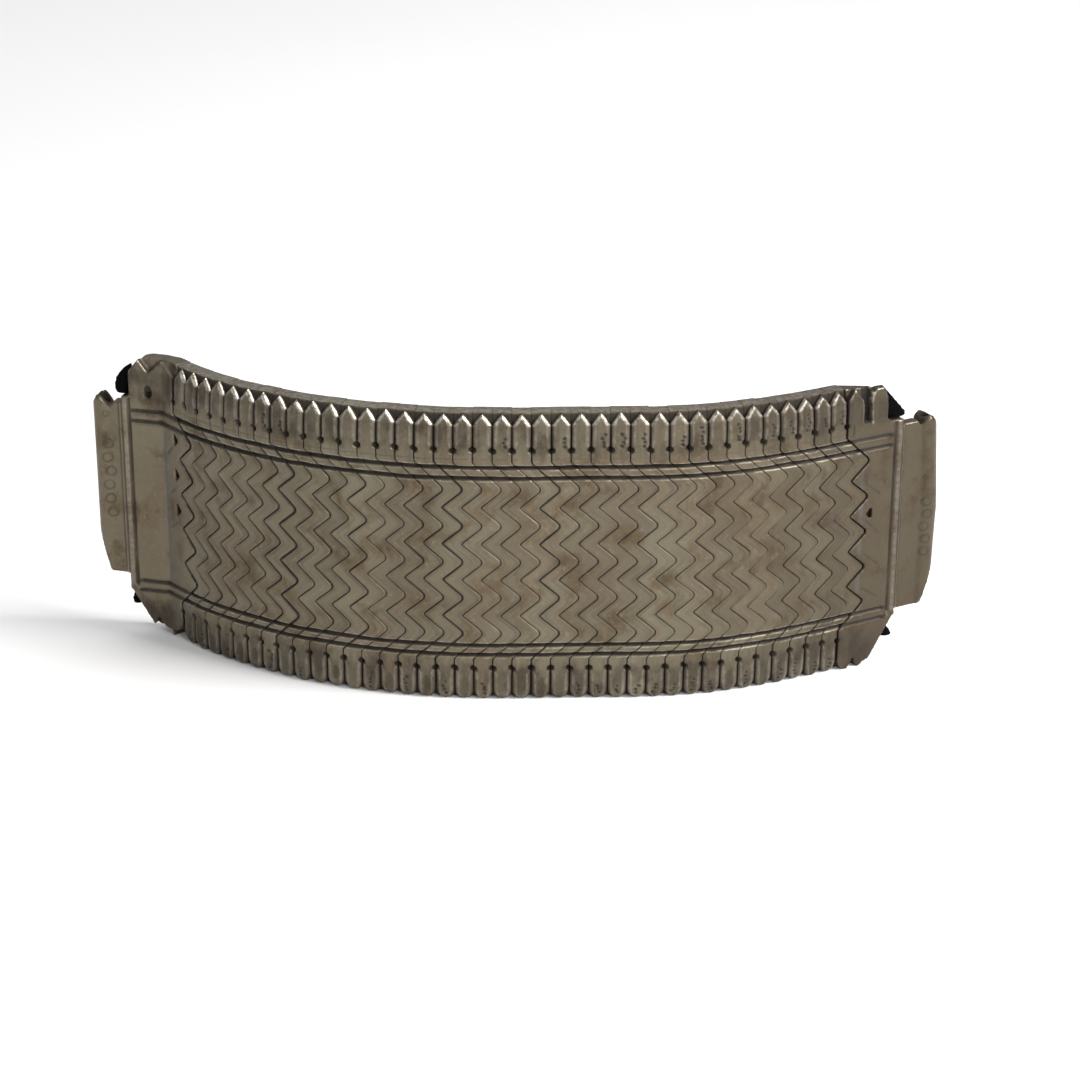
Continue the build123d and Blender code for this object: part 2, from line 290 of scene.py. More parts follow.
def heading_at(number):
    """Direction of the band at a link number, read between the rows of HEADINGS."""
    if number <= HEADINGS[0][0]:
        return HEADINGS[0][1]
    for (n0, h0), (n1, h1) in zip(HEADINGS, HEADINGS[1:]):
        if number <= n1:
            return h0 + (h1 - h0) * (number - n0) / (n1 - n0)
    return HEADINGS[-1][1]


def step(point, heading, length):
    angle = math.radians(heading)
    return (point[0] + length * math.cos(angle), point[1] + length * math.sin(angle))


def joint_points():
    """Front joint of every link, from one soldered link to the other."""
    last = FIRST_JOINT + LINK_COUNT
    points = {0: (0.0, 0.0)}
    for number in range(0, last + 1):
        points[number + 1] = step(points[number], heading_at(number + 0.5), PITCH)
    for number in range(0, FIRST_JOINT - 1, -1):
        points[number - 1] = step(points[number], heading_at(number - 0.5), -PITCH)
    return points


def joint_offset(z):
    """Sideways offset of a joint at each height, its peaks slightly rounded."""
    heights = [HEIGHT + 1, STRAIGHT_TOP_Z]
    offsets = [0.0, 0.0]
    for k in range(ZIGZAG_PEAKS):
        peak = PEAK_TOP_Z - k * PEAK_STEP
        heights += [peak + PEAK_FLAT / 2, peak - PEAK_FLAT / 2]
        offsets += [PEAK_OFFSET, PEAK_OFFSET]
        if k < ZIGZAG_PEAKS - 1:
            heights.append(peak - PEAK_STEP / 2)
            offsets.append(VALLEY_OFFSET)
    heights += [STRAIGHT_BOTTOM_Z, -1.0]
    offsets += [0.0, 0.0]
    heights = np.array(heights[::-1])
    offsets = np.array(offsets[::-1])
    total = np.zeros_like(z)
    spread = np.linspace(-1, 1, 7)
    weights = 1 - spread**2 * 0.8
    for shift, weight in zip(spread, weights):
        total += weight * np.interp(z + shift * PEAK_ROUNDING, heights, offsets)
    return total / weights.sum()


def height_rows():
    rows = []
    for top, bottom, spacing in ROW_STRETCHES:
        count = max(1, round((top - bottom) / spacing))
        rows += list(np.linspace(top, bottom, count, endpoint=False))
    return np.array(rows + [ROW_STRETCHES[-1][1]])


def tip_half_width(z, look):
    """Share of the half width that the front part of a link keeps at each height."""
    apex = HEIGHT - look["apex_drop"]
    gable = np.clip((apex - z) / (apex - TIP_SHOULDER_Z), 0.0, 1.0)
    foot = np.sqrt(np.clip(1 - np.clip((FOOT_ROUND_Z - z) / FOOT_ROUND_Z, 0, 1) ** 2, 0.0, 1.0))
    foot = FOOT_MIN_SHARE + (1 - FOOT_MIN_SHARE) * foot
    gable = np.maximum(gable**0.75, 0.012)
    return np.where(z > TIP_SHOULDER_Z, gable, np.where(z < FOOT_ROUND_Z, foot, 1.0))


def front_relief(u, z, slope, look):
    """Depth behind the front plane, how much dirt and painted shade each point holds, and its wear and
    painted highlight.
    """
    half = PITCH / 2
    share = tip_half_width(z, look)
    reach = np.sqrt(1 + slope**2)
    left = (u - (half - half * share)) / reach
    right = (PITCH - (half - half * share) - u) / reach
    near = np.minimum(left, right)
    in_tips = smooth_step(z, 33.2, 34.2) + smooth_step(-z, -4.4, -3.4)
    opening = np.where(left < right, look["open_left"], look["open_right"])
    rounding = EDGE_ROUNDING + opening + TIP_ROUNDING * in_tips
    inside = np.clip(1 - near / rounding, 0.0, 1.0)
    edge = rounding * (0.8 - 0.1 * in_tips) * (1 - np.sqrt(np.clip(1 - inside**2, 0.0, 1.0)))
    pillow = np.clip(1 - near / PILLOW_WIDTH, 0.0, 1.0)
    tilt = np.where(left < right, look["pillow"][0], look["pillow"][1])

    depth = edge + tilt * pillow**2 * (1 - in_tips)
    wander = ripple(z * 0.9 + look["number"] * 5.0, u * 0.5, 71)
    strength = np.where(left < right, look["line"][0], look["line"][1])
    line = (0.045 + 0.06 * strength + 0.8 * opening + 0.05 * in_tips) * (1 + 0.4 * wander)
    strength = np.clip(0.15 + 0.7 * strength + 0.25 * wander + 4.0 * opening + in_tips, 0.3, 1.0)
    dirt_and_shade = (1 - smooth_step(near, line * 0.45, line * 1.6)) * strength
    # Painted shade: each link darker towards one side and in fine streaks across it, as light falls on its
    # rounded face; carried with the dirt.
    shade = smooth_step(u, look["shade"][1], PITCH) * look["shade"][0]
    streak = np.clip(ripple(u * 7.0 + look["number"] * 3.0, z * 0.5, 91), 0, 1)
    streak += 0.8 * np.clip(ripple(u * 13.0 + look["number"] * 7.0, z * 0.8, 93) - 0.15, 0, 1)
    dirt_and_shade = np.maximum(dirt_and_shade, np.clip(0.2 * shade + 0.42 * streak, 0, 0.6) * (1 - 0.4 * in_tips))
    wear_and_highlight = plateau(inside, 0.02, 0.25, 0.3, 0.6)
    wear_and_highlight *= 0.2 + 0.12 * in_tips

    along = u + look["number"] * PITCH
    for k, row in enumerate(GROOVE_ROWS):
        wander = 0.05 * ripple(along * 0.8, np.zeros_like(along), 40 + k)
        swell = 1 + 0.3 * ripple(along * 0.5, np.zeros_like(along), 60 + k)
        away = np.abs(z - row - wander) / (GROOVE_WIDTH / 2 * swell)
        valley = np.clip(1 - away**1.6, 0, 1)
        depth += GROOVE_DEPTH * valley * (1 - 0.25 * edge)
        dirt_and_shade = np.maximum(dirt_and_shade, smooth_step(valley, 0.08, 0.55))
        wear_and_highlight = np.maximum(wear_and_highlight, plateau(away, 0.95, 1.1, 1.15, 1.5) * 0.55)
    collar = np.clip(1 - np.abs(z - COLLAR_LINE_Z) / 0.13, 0, 1)
    depth += 0.05 * collar
    dirt_and_shade = np.maximum(dirt_and_shade, 0.45 * collar * look["collar"])

    slope_share = np.clip((z - TIP_FRONT_SLOPE_Z) / (HEIGHT - TIP_FRONT_SLOPE_Z), 0, 1)
    depth += TIP_FRONT_SLOPE_DEPTH * slope_share**1.3
    curl = np.clip(1 - z / 1.5, 0, 1)
    depth += 0.42 * curl**2
    # Shoulder ridge and gable edges of the tips: worn bare silver, brightened further as a painted highlight.
    ridge = np.clip(1 - np.abs(z - TIP_SHOULDER_Z) / 0.3, 0, 1) * np.clip(1 - near / 0.35, 0, 1)
    wear_and_highlight = np.maximum(wear_and_highlight, ridge * 0.4)
    gable = smooth_step(z, TIP_SHOULDER_Z - 0.2, TIP_SHOULDER_Z + 0.2)
    dirt_and_shade *= 1 - gable
    wear_and_highlight = np.maximum(wear_and_highlight, gable * smooth_step(inside, 0.05, 0.3))

    across = (u - half) / BOWL_HALF_SIZE[0]
    down = (z - BOWL_Z) / BOWL_HALF_SIZE[1]
    bowl = np.clip(1 - across**2 - down**2, 0, 1)
    depth += look["bowl"] * np.sqrt(bowl)
    dirt_and_shade = np.maximum(dirt_and_shade, look["bowl"] * 4.0 * smooth_step(bowl, 0.0, 0.5))

    for k, row in enumerate(DOT_ROWS):
        for side, centre in enumerate((0.0, PITCH)):
            away = np.hypot(u - centre, z - row - look["dot_shift"][k][side]) / DOT_RADIUS
            cup = np.clip(1 - away**2, 0, 1)
            depth += DOT_DEPTH * np.sqrt(cup)
            dirt_and_shade = np.maximum(dirt_and_shade, smooth_step(cup, 0.0, 0.3))
    for pit_u, pit_z, size in look["pits"]:
        away = np.hypot(u - pit_u, z - pit_z) / size
        cup = np.clip(1 - away**2, 0, 1)
        depth += PIT_DEPTH * cup
        dirt_and_shade = np.maximum(dirt_and_shade, smooth_step(cup, 0.0, 0.4) * 0.95)
    hammering = 0.035 * (1 + ripple(along * 1.7, z * 1.3, 5))
    depth += hammering + 0.03 * in_tips * (1 + ripple(along * 4.0, z * 3.0, 6))
    depth += look["lean"] * (u - half) / PITCH
    return depth, np.clip(dirt_and_shade, 0, 1), np.clip(wear_and_highlight, 0, 1)


def link_arrays(look):
    """Vertices, faces, dirt with painted shade, and wear with painted highlight of one link in its own frame:
    u along, d inwards, z up.
    """
    rows = height_rows()
    count = len(rows)
    columns = np.array(COLUMNS)
    across = len(columns)
    depths = np.array(SIDE_DEPTHS)
    offset = joint_offset(rows)
    slope = np.gradient(offset, rows)
    slope = np.convolve(np.pad(slope, 2, mode="edge"), np.ones(5) / 5, mode="valid")
    share = tip_half_width(rows, look)
    half = PITCH / 2
    lift = look["lift"] * smooth_step(rows, 33.0, 36.0)
    z_out = rows + lift + look["foot_lift"] * smooth_step(-rows, -3.0, 0.0)

    points = []
    dirt_and_shade = []
    wear_and_highlight = []

    # Front face, one row of columns for each height
    u = columns[None, :].repeat(count, 0)
    z = rows[:, None].repeat(across, 1)
    squeezed = half + (u - half) * share[:, None]
    relief, front_dirt_and_shade, front_wear_and_highlight = front_relief(squeezed, z, slope[:, None], look)
    gap = (LINK_GAP / 2) * (1 - 2 * u / PITCH)
    front_u = squeezed + gap * share[:, None] + offset[:, None]
    front_d = relief + look["proud"]
    front = np.stack([front_u, front_d, z_out[:, None].repeat(across, 1)], -1).reshape(-1, 3)
    points.append(front)
    dirt_and_shade.append(front_dirt_and_shade.ravel())
    wear_and_highlight.append(front_wear_and_highlight.ravel())

    # Side walls, each a grid of heights and depths that starts at the front edge
    walls = {}
    start = count * across
    inner = len(depths) - 1
    for side in (0, 1):
        sign = 1 if side == 0 else -1
        edge_depth = front_d[:, 0 if side == 0 else -1]
        wall = []
        for j in range(1, inner + 1):
            kept = share if depths[j] < TIP_DEPTH else np.ones(count)
            shut = LINK_GAP / 2 if depths[j] < CLOSED_DEPTH else CLOSED_GAP / 2 - look["seal"][side]
            inset = shut + depths[j] * math.tan(math.radians(look["turns"][side] / 2))
            inset = inset + (0.1 if j == inner else 0.0)
            middle = half + offset
            side_u = middle - sign * (half - inset) * kept
            depth = np.maximum(depths[j], edge_depth + 0.04 * j)
            height = z_out.copy()
            if depths[j] > TIP_DEPTH:
                crown = 0.1 if j in (inner, inner - 3) else 0.03
                height[0] -= crown
                height[-1] += crown
            wall.append(np.stack([side_u, depth, height], -1))
        wall = np.stack(wall, 1)
        points.append(wall.reshape(-1, 3))
        # Side walls, seen in the gaps between the tips and feet: dirt and painted shade, lighter at the top
        # and at the back edge.
        wall_dirt_and_shade = np.ones((count, inner)) * 0.95
        top_share = smooth_step(rows, HEIGHT - 0.35, HEIGHT)
        wall_dirt_and_shade *= (1 - 0.8 * top_share)[:, None]
        wall_dirt_and_shade[:, -1] = 0.35
        # Gable edge of each wall: kept clean and bright, worn silver with a painted highlight.
        wall_wear_and_highlight = np.zeros((count, inner))
        gable = (rows > TIP_SHOULDER_Z - 0.05) & (rows < HEIGHT)
        wall_wear_and_highlight[gable, 0] = 0.6
        wall_dirt_and_shade[gable, 0] = 0.1
        dirt_and_shade.append(wall_dirt_and_shade.ravel())
        wear_and_highlight.append(wall_wear_and_highlight.ravel())
        walls[side] = (start + np.arange(count * inner)).reshape(count, inner)
        start += count * inner

    # Back face between the two back edges
    back_inner = BACK_COLUMNS - 1
    left_edge = points[1].reshape(count, inner, 3)[:, -1]
    right_edge = points[2].reshape(count, inner, 3)[:, -1]
    back = []
    for k in range(1, BACK_COLUMNS):
        t = k / BACK_COLUMNS
        line = left_edge * (1 - t) + right_edge * t
        line[:, 1] = DEPTH + 0.02 * ripple(rows * 1.1, np.full(count, t * 3.0), 9 + look["number"] % 7)
        back.append(line)
    points.append(np.stack(back, 1).reshape(-1, 3))
    dirt_and_shade.append(np.full(count * back_inner, 0.3))
    wear_and_highlight.append(np.zeros(count * back_inner))
    back_grid = (start + np.arange(count * back_inner)).reshape(count, back_inner)
    start += count * back_inner

    front_grid = np.arange(count * across).reshape(count, across)
    left = np.concatenate([front_grid[:, :1], walls[0]], 1)
    right = np.concatenate([front_grid[:, -1:], walls[1]], 1)
    back_all = np.concatenate([walls[0][:, -1:], back_grid, walls[1][:, -1:]], 1)

    faces = []

    def quads(grid, flip):
        a = grid[:-1, :-1].ravel()
        b = grid[:-1, 1:].ravel()
        c = grid[1:, 1:].ravel()
        d = grid[1:, :-1].ravel()
        order = (a, d, c, b) if not flip else (a, b, c, d)
        faces.extend(np.stack(order, -1).tolist())

    quads(front_grid, False)
    quads(left, True)
    quads(right, False)
    quads(back_all, True)

    # Top and bottom caps, columns joining the front row to the back row
    for row, flip in ((0, True), (count - 1, False)):
        levels = [front_grid[row]]
        cap_points = []
        cap_dirt = []
        for j in range(inner - 1):
            a = points[1].reshape(count, inner, 3)[row, j]
            b = points[2].reshape(count, inner, 3)[row, j]
            t = (columns[1:-1] / PITCH)[:, None]
            line = a * (1 - t) + b * t
            own = start + np.arange(across - 2)
            start += across - 2
            cap_points.append(line)
            in_bar = depths[j + 1] > TIP_DEPTH
            cap_dirt.append(np.full(across - 2, 0.12 if in_bar else 0.4))
            levels.append(np.concatenate([[walls[0][row, j]], own, [walls[1][row, j]]]))
        points.append(np.concatenate(cap_points))
        dirt_and_shade.append(np.concatenate(cap_dirt))
        wear_and_highlight.append(np.full((across - 2) * (inner - 1), 0.35 if row == 0 else 0.0))
        quads(np.stack(levels), flip)
        fine = levels[-1]
        coarse = back_all[row]
        group = (across - 1) // BACK_COLUMNS
        for k in range(BACK_COLUMNS):
            part = list(fine[k * group : (k + 1) * group + 1])
            face = part + [coarse[k + 1], coarse[k]]
            faces.append(face if flip else face[::-1])

    return np.concatenate(points), faces, np.concatenate(dirt_and_shade), np.concatenate(wear_and_highlight)


def rim_grime(z):
    """How much dirt has gathered towards the tips and feet, 0 to 1."""
    return 0.1 + 0.75 * plateau(z, 31.5, 34.0, 36.4, 37.4) + 0.85 * smooth_step(-z, -6.5, -3.5)


def write_attributes(mesh, values):
    """Keeps one value for each vertex under each name, for the material, and shades the mesh smooth."""
    for label, numbers in values.items():
        layer = mesh.attributes.new(label, "FLOAT", "POINT")
        layer.data.foreach_set("value", np.asarray(numbers, np.float32))
    mesh.polygons.foreach_set("use_smooth", [True] * len(mesh.polygons))
    mesh.update()


def make_mesh(name, vertices, faces, dirt_and_shade, wear_and_highlight, tone_and_shade, smooth_angle):
    """Mesh object in metres with its dirt, wear, tone and grime kept as attributes; painted shade rides on
    the dirt and tone, a painted highlight on the wear.
    """
    mesh = bpy.data.meshes.new(name)
    mesh.from_pydata((vertices * MM).tolist(), [], faces)
    write_attributes(mesh, {"dirt_and_shade": dirt_and_shade, "wear_and_highlight": wear_and_highlight, "tone_and_shade": tone_and_shade, "grime": rim_grime(vertices[:, 2])})
    thing = bpy.data.objects.new(name, mesh)
    bpy.context.scene.collection.objects.link(thing)
    mesh.set_sharp_from_angle(angle=math.radians(smooth_angle))
    clean_normals(thing)
    return thing


def joint_strength(number):
    """How dark a joint's line is where nothing holds it open."""
    return 0.12 + 0.8 * random.Random(500 + number).uniform(0.0, 1.0) ** 1.8


def link_look(number):
    """What sets one link apart from its neighbours: small shifts, pits, hollows and shade."""
    rng = random.Random(1000 + number)
    pits = []
    if number in PITTED_TIPS:
        for k in range(rng.randint(3, 5)):
            place = (rng.uniform(1.3, 1.75), 33.9 + k * 0.5 + rng.uniform(-0.06, 0.06))
            pits.append((*place, rng.uniform(0.23, 0.31)))
    bowl = 0.0
    if rng.random() < 0.6:
        lane = rng.uniform(0.95, 1.45)
        for k in range(rng.randint(3, 6)):
            place = (lane + rng.uniform(-0.25, 0.25), 0.8 + k * 0.5 + rng.uniform(-0.1, 0.1))
            pits.append((*place, rng.uniform(0.19, 0.3)))
    else:
        bowl = rng.uniform(0.08, 0.2)
    return {
        "number": number,
        "open_left": OPEN_JOINTS.get(number, 0.0) + rng.uniform(0.0, 0.025),
        "open_right": OPEN_JOINTS.get(number + 1, 0.0) + rng.uniform(0.0, 0.025),
        "apex_drop": rng.uniform(0.0, 0.22),
        "lift": rng.uniform(-0.09, 0.03),
        "foot_lift": rng.uniform(0.0, 0.12),
        "proud": rng.uniform(0.0, 0.09),
        "lean": rng.uniform(-0.05, 0.05),
        "pillow": (rng.uniform(0.02, 0.1), rng.uniform(0.05, 0.16)),
        "shade": (rng.uniform(0.2, 1.4), rng.uniform(0.6, 1.6)),
        "line": [joint_strength(number), joint_strength(number + 1)],
        "collar": rng.uniform(0.2, 1.0),
        "bowl": bowl,
        "pits": pits,
        "dot_shift": [[rng.uniform(-0.12, 0.12) for _ in range(2)] for _ in range(2)],
        # Tone along the band, darker towards the ends as painted shade, with a random part that is the
        # silver's own.
        "tone_and_shade": float(np.interp(number, *zip(*BAND_TONE_AND_SHADE))) + rng.uniform(-0.3, 0.3),
        "seal": [END_SEAL * (number == FIRST_JOINT), END_SEAL * (number == FIRST_JOINT + LINK_COUNT - 1)],
        "turns": [heading_at(number + k + 0.5) - heading_at(number + k - 0.5) for k in (0, 1)],
    }


def turned(vertices, origin, heading):
    """Local (along, inward, up) points set at a place and direction on the floor plan."""
    angle = math.radians(heading)
    x = origin[0] + vertices[:, 0] * math.cos(angle) - vertices[:, 1] * math.sin(angle)
    y = origin[1] + vertices[:, 0] * math.sin(angle) + vertices[:, 1] * math.cos(angle)
    return np.stack([x, y, vertices[:, 2]], -1)


def make_link(number, points, shift, material):
    look = link_look(number)
    vertices, faces, dirt_and_shade, wear_and_highlight = link_arrays(look)
    vertices = turned(vertices, points[number], heading_at(number + 0.5))
    vertices[:, :2] -= shift
    name = f"link_{number - FIRST_JOINT + 1:02d}"
    tone_and_shade = np.full(len(vertices), look["tone_and_shade"])
    link = make_mesh(name + "_worn", vertices, faces, dirt_and_shade, wear_and_highlight, tone_and_shade, LINK_SMOOTH_ANGLE)
    link.data.materials.append(material)
    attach(link, "root")
    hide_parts(name)


def end_joint(name, points):
    """Number of the soldered link, and the plan point where its plate begins."""
    if ENDS[name]["side"] < 0:
        number = FIRST_JOINT - 1
        return number, points[number]
    number = FIRST_JOINT + LINK_COUNT
    return number, points[number + 1]


def in_frame(plan, origin, heading):
    """Distances along and inwards from an origin and direction on the floor plan."""
    angle = math.radians(heading)
    away = plan - np.array(origin)
    along = away[:, 0] * math.cos(angle) + away[:, 1] * math.sin(angle)
    inwards = -away[:, 0] * math.sin(angle) + away[:, 1] * math.cos(angle)
    return along, inwards


def neighbour_mean(values, edges, degree):
    total = np.zeros_like(values)
    np.add.at(total, edges[:, 0], values[edges[:, 1]])
    np.add.at(total, edges[:, 1], values[edges[:, 0]])
    return total / degree


def line_share(x, y, start, stop, width):
    """1 on a straight stroke, falling to 0 at its width."""
    run = np.array([stop[0] - start[0], stop[1] - start[1]])
    t = ((x - start[0]) * run[0] + (y - start[1]) * run[1]) / (run @ run)
    t = np.clip(t, 0, 1)
    away = np.hypot(x - start[0] - t * run[0], y - start[1] - t * run[1])
    return np.clip(1 - away / width, 0, 1)


def add_filler(mesh, outline, front, end, corner, shift):
    """Adds a prism to the front of an end piece, from its outline as (along, height) and its front depth."""
    angle = math.radians(end["heading"])
    side = end["side"]
    build = bmesh.new()
    build.from_mesh(mesh)
    rings = []
    for depth in (front, FILL_BACK_DEPTH):
        ring = []
        for along, height in outline:
            x = corner[0] + side * along * math.cos(angle) - depth * math.sin(angle) - shift[0]
            y = corner[1] + side * along * math.sin(angle) + depth * math.cos(angle) - shift[1]
            ring.append(build.verts.new((x * MM, y * MM, height * MM)))
        rings.append(ring)
    near, far = rings
    count = len(outline)
    made = [build.faces.new(near), build.faces.new(far[::-1])]
    for k in range(count):
        after = (k + 1) % count
        made.append(build.faces.new((near[after], near[k], far[k], far[after])))
    bmesh.ops.recalc_face_normals(build, faces=made)
    build.to_mesh(mesh)
    build.free()


def engraving(end, along, z):
    """Strength of the engraved rings and strokes on an end piece's front."""
    rings = list(end["rings"])
    top, bottom, spacing, centre, radius = end["ring_rows"]
    for k in range(int((top - bottom) / spacing) + 1):
        rings.append((centre + 0.22 * math.sin(k * 2.3), top - k * spacing, radius))
    cut = np.zeros_like(z)
    for centre, height, radius in rings:
        away = np.hypot(along - centre, z - height)
        cut = np.maximum(cut, np.clip(1 - np.abs(away - radius) / ENGRAVING_WIDTH, 0, 1))
    for start, stop in end["strokes"]:
        cut = np.maximum(cut, line_share(along, z, start, stop, ENGRAVING_WIDTH))
    return cut


def mesh_arrays(mesh):
    """Places in millimetres, normals, edges and the number of edges at each vertex."""
    count = len(mesh.vertices)
    place = np.empty(count * 3)
    mesh.vertices.foreach_get("co", place)
    normal = np.empty(count * 3)
    mesh.vertices.foreach_get("normal", normal)
    edges = np.empty(len(mesh.edges) * 2, np.int32)
    mesh.edges.foreach_get("vertices", edges)
    degree = np.bincount(edges, minlength=count)[:, None].astype(float)
    return place.reshape(-1, 3) / MM, normal.reshape(-1, 3), edges.reshape(-1, 2), degree


def worn_end(name, node_object, points, shift, material):
    """Fine worn copy of an end piece, with its engraving, beaded ridge, dirt with painted shade in its gaps,
    and bright worn edges with a painted highlight on the tips.
    """
    end = ENDS[name]
    side = end["side"]
    number, corner = end_joint(name, points)
    source = bpy.data.objects.new(name + "_source", node_object.data.copy())
    bpy.context.scene.collection.objects.link(source)
    for outline, front in end["fill"]:
        add_filler(source.data, outline, front, end, corner, shift)
    even = source.modifiers.new("even", "REMESH")
    even.mode = "VOXEL"
    even.voxel_size = END_VOXEL * MM
    graph = bpy.context.evaluated_depsgraph_get()
    mesh = bpy.data.meshes.new_from_object(source.evaluated_get(graph))
    bpy.data.objects.remove(source)

    place, normal, edges, degree = mesh_arrays(mesh)
    count = len(place)
    link_heading = heading_at(number + 0.5)
    plan = place[:, :2] + shift
    along, depth = in_frame(plan, corner, end["heading"])
    along = along * side
    z = place[:, 2]
    link_along, link_depth = in_frame(plan, points[number], link_heading)
    angle = math.radians(end["heading"] + 90)
    inwards = np.array([math.cos(angle), math.sin(angle), 0.0])
    outwards = np.array([math.cos(angle - math.pi / 2), math.sin(angle - math.pi / 2), 0.0]) * side
    facing = np.clip(-(normal @ inwards), 0, 1)

    # Worn upper end of the tube, and its lean
    tube_start, tube_stop = end["tube"]
    on_tube = smooth_step(along, tube_start - 0.3, tube_start + 0.2)
    top_along, top_height = zip(*end["tube_top"])
    flat, top = TUBE_WEAR_Z
    wanted = flat + (z - flat) * (np.interp(along, top_along, top_height) - flat) / (top - flat)
    lifted = on_tube * np.where(z > flat, wanted - z, 0.0)
    lean_z, lean_shift = zip(*end["lean"])
    lean = np.interp(z, lean_z, lean_shift) * smooth_step(along, end["ridge"][1], tube_stop)

    # Back edge of the block worn low, its outer side drawn in, and the wide gap and the socket in its front
    crown_along, crown_drop = zip(*end["crown"])
    drop = np.interp(along, crown_along, crown_drop) * smooth_step(depth, 1.0, 1.6)
    drop *= smooth_step(z, 36.0, 38.0)
    lifted -= drop * (along < end["ridge"][1])
    if end["tuck"]:
        tuck_start, tuck_stop, tuck = end["tuck"]
        in_block = (z > 33.3) * (along < tuck_stop + 0.6)
        lean -= in_block * tuck * smooth_step(along, tuck_start, tuck_stop)
    sunk = np.zeros(count)
    ledge = np.zeros(count)
    socket = np.zeros(count)
    if end["sunk"]:
        sunk_start, sunk_stop = end["sunk"]
        sunk = plateau(along, sunk_start - 0.05, sunk_start + 0.1, sunk_stop - 0.1, sunk_stop + 0.05)
        sunk *= depth < 1.6
        ledge = sunk * smooth_step(z, 33.0, 33.2)
        sunk = sunk * smooth_step(z, 33.35, 33.6)
    if end["socket"]:
        socket_along, socket_z, wide, tall = end["socket"]
        away = ((along - socket_along) / wide) ** 2 + ((z - socket_z) / tall) ** 2
        socket = smooth_step(-away, -1.25, -0.85) * (depth < 1.3)
        sunk = np.maximum(sunk, 0.35 * socket * (facing > 0.2))

    # Beaded ridge between two cut lines, engraving, and the lapped sheet
    low, high = end["ridge"]
    middle = (low + high) / 2
    within = plateau(along, low - 0.5, low - 0.3, high + 0.3, high + 0.5)
    within *= plateau(z, PLATE_Z[0] + 0.3, PLATE_Z[0] + 0.8, PLATE_Z[1] - 0.25, PLATE_Z[1])
    bead = np.clip(1 - ((along - middle) / ((high - low) / 2 - 0.12)) ** 2, 0, 1)
    lines = np.maximum(
        np.clip(1 - np.abs(along - low) / RIDGE_LINE_WIDTH, 0, 1),
        np.clip(1 - np.abs(along - high) / RIDGE_LINE_WIDTH, 0, 1),
    )
    wander = 1 + 0.5 * ripple(z * 0.9, along, 31)
    ridge_depth = -RIDGE_HEIGHT * np.sqrt(bead) + 0.22 * lines * wander
    near_front = (depth < PLATE_FRONT_DEPTH) & (facing > 0.35)
    push = np.where(near_front, within * (ridge_depth - np.clip(depth, -0.3, 0.3)), 0.0)
    cut = engraving(end, along, z) * smooth_step(facing, 0.3, 0.6)
    cut *= 0.65 + 0.35 * ripple(along * 2.0, z * 2.0, 77)
    push += ENGRAVING_DEPTH * cut
    sheet_edge = np.zeros(count)
    if end["lap"]:
        lap_start, lap_stop, lap_low, lap_high = end["lap"]
        tilt = 0.1 * (along - lap_start) / (lap_stop - lap_start)
        lap_top = lap_high + tilt
        sheet = plateau(along, lap_start - 0.08, lap_start + 0.08, lap_stop, lap_stop + 0.1)
        sheet *= plateau(z, lap_low - 0.2, lap_low + 0.1, lap_top - 0.08, lap_top + 0.1)
        push -= LAP_DEPTH * sheet * facing
        sheet_edge = np.clip(1 - np.abs(z - lap_top - LAP_DEPTH) / LAP_DEPTH, 0, 1)
        sheet_edge *= plateau(along, lap_start - 0.1, lap_start, lap_stop, lap_stop + 0.1)
        side_edge = np.clip(1 - np.abs(along - lap_start + 0.12) / 0.14, 0, 1)
        sheet_edge = np.maximum(sheet_edge, side_edge * (z > lap_low) * (z < lap_high))
    push += 0.05 * ripple(along * 1.1, z * 0.7, 12) * facing
    push += sunk * np.clip(1.2 - depth, 0, 1.2)
    place = place + inwards * push[:, None] + outwards * lean[:, None]
    place[:, 2] += lifted

    for weight in (0.5, 0.5, -0.25):
        place = place + weight * (neighbour_mean(place, edges, degree) - place)
    hollow = ((neighbour_mean(place, edges, degree) - place) * normal).sum(1) / END_VOXEL
    hollow = hollow[:, None]
    for _ in range(2):
        hollow = 0.5 * hollow + 0.5 * neighbour_mean(hollow, edges, degree)
    hollow = hollow[:, 0]

    dirt_and_shade = smooth_step(hollow, 0.03, 0.16)
    dirt_and_shade = np.maximum(dirt_and_shade, 0.95 * cut)
    # The wide gap and its ledge: dirt and painted shade.
    dirt_and_shade = np.maximum(dirt_and_shade, smooth_step(sunk, 0.1, 0.45))
    dirt_and_shade = np.maximum(dirt_and_shade, 0.85 * ledge)
    dirt_and_shade = np.maximum(dirt_and_shade, socket)
    dirt_and_shade = np.maximum(dirt_and_shade, within * lines * (0.35 + 0.4 * wander) * facing)
    dirt_and_shade = np.maximum(dirt_and_shade, 0.8 * sheet_edge * facing)
    in_plate = along > -0.1
    reach = np.where(in_plate, along < low - 0.25, True)
    recess = np.where(in_plate, depth, link_depth)
    front = recess < PLATE_FRONT_DEPTH
    for row in GROOVE_ROWS:
        valley = np.clip(1 - (np.abs(z - row) / (GROOVE_WIDTH / 2)) ** 2, 0, 1)
        dirt_and_shade = np.maximum(dirt_and_shade, smooth_step(valley, 0.1, 0.6) * reach * front * 0.95)
